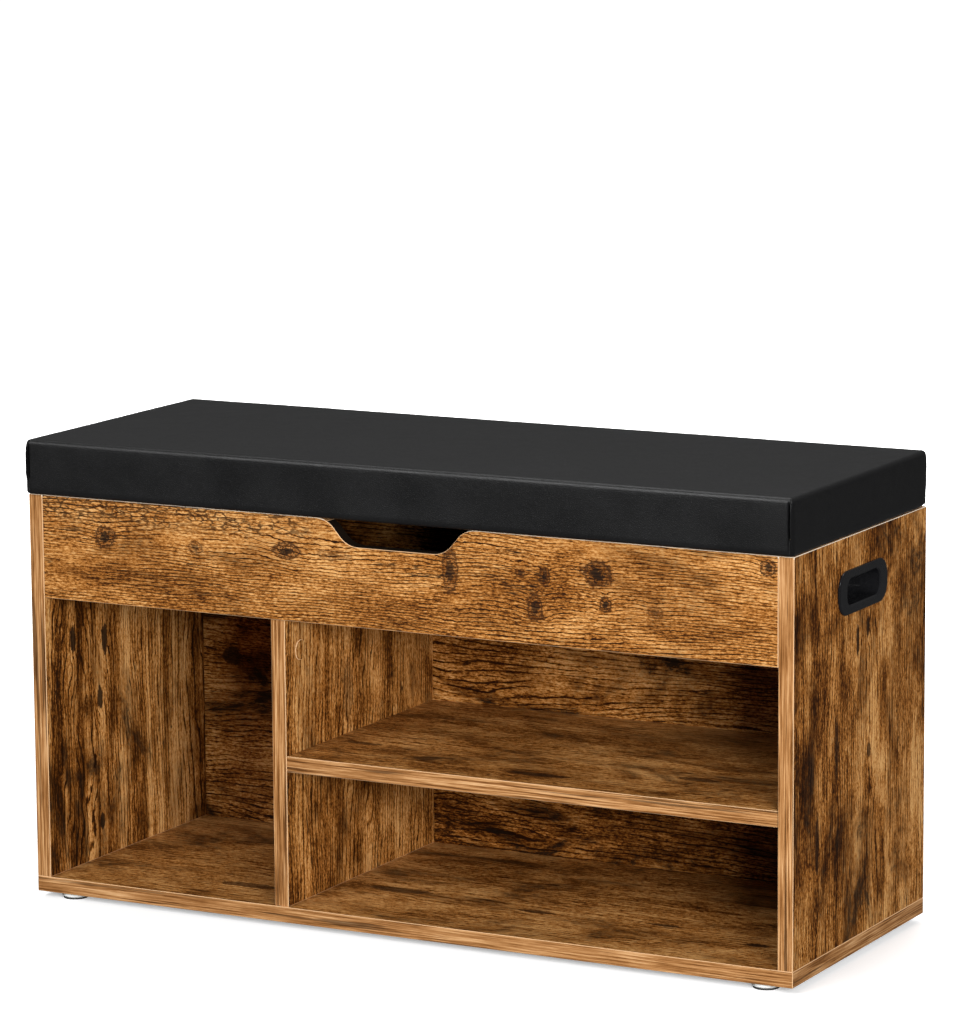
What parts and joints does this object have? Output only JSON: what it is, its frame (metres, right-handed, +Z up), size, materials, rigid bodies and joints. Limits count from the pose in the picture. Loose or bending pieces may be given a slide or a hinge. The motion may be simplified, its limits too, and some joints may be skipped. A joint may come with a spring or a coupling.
{
  "type": "entryway bench",
  "caption": "Entryway storage bench with a padded lid on rear hinges, an open cubby beside two shoe compartments, and recessed end handles.",
  "frame": {"origin": "on the floor, in the middle of the length and of the depth", "axes": "+X right along the length seen from the front, +Y to the back, +Z up"},
  "size_m": [0.8044, 0.3094, 0.449],
  "materials": {
    "front_laminate": "printed rustic wood, satin",
    "side_laminate": "printed rustic wood, upright grain, satin",
    "shelf_laminate": "printed rustic wood, satin",
    "back_laminate": "printed rustic wood with dark patches, satin",
    "handle_plastic": "glossy black",
    "cap_plastic": "brown, matt",
    "zinc": "die-cast zinc, dull",
    "zinc_plated_steel": "zinc plated",
    "hinge_steel": "nickel plated",
    "beech": "raw beech",
    "foot_plastic": "white, matt",
    "foot_felt": "dark felt",
    "bumper_rubber": "clear, soft",
    "lid_board_wood": "raw board",
    "foam": "cream foam",
    "lid_leather": "black synthetic leather, fine grain",
    "dust_cloth": "black non-woven cloth"
  },
  "bodies": {
    "carcass": {"base_board": "shelf_laminate", "left_side_panel": "side_laminate", "right_side_panel": "side_laminate", "divider": "side_laminate", "shelf": "shelf_laminate", "storage_floor": "shelf_laminate", "front_panel": "front_laminate", "rear_rail": "shelf_laminate", "back_panel": "back_laminate", "left_handle_cup": "handle_plastic", "right_handle_cup": "handle_plastic", "cam_locks": "zinc", "cam_bolts": "zinc_plated_steel", "cam_caps": "cap_plastic", "dowels": "beech", "base_screws": "zinc_plated_steel", "foot_bodies": "foot_plastic", "foot_nails": "zinc_plated_steel", "foot_pads": "foot_felt", "lid_bumpers": "bumper_rubber", "left_hinge_fixed_leaf": "hinge_steel", "right_hinge_fixed_leaf": "hinge_steel", "left_hinge_pin": "hinge_steel", "right_hinge_pin": "hinge_steel", "rail_hinge_screws": "zinc_plated_steel"},
    "lid": {"lid_board": "lid_board_wood", "lid_foam": "foam", "lid_cover": "lid_leather", "lid_dust_cover": "dust_cloth", "staples": "zinc_plated_steel", "left_hinge_moving_leaf": "hinge_steel", "right_hinge_moving_leaf": "hinge_steel", "lid_hinge_screws": "zinc_plated_steel"}
  },
  "joints": [
    {"name": "lid_hinge", "type": "hinge", "parent": "carcass", "child": "lid", "pos_m": [0, 0.1525, 0.3975], "axis": [-1, 0, 0], "range_deg": [0, 90]}
  ]
}
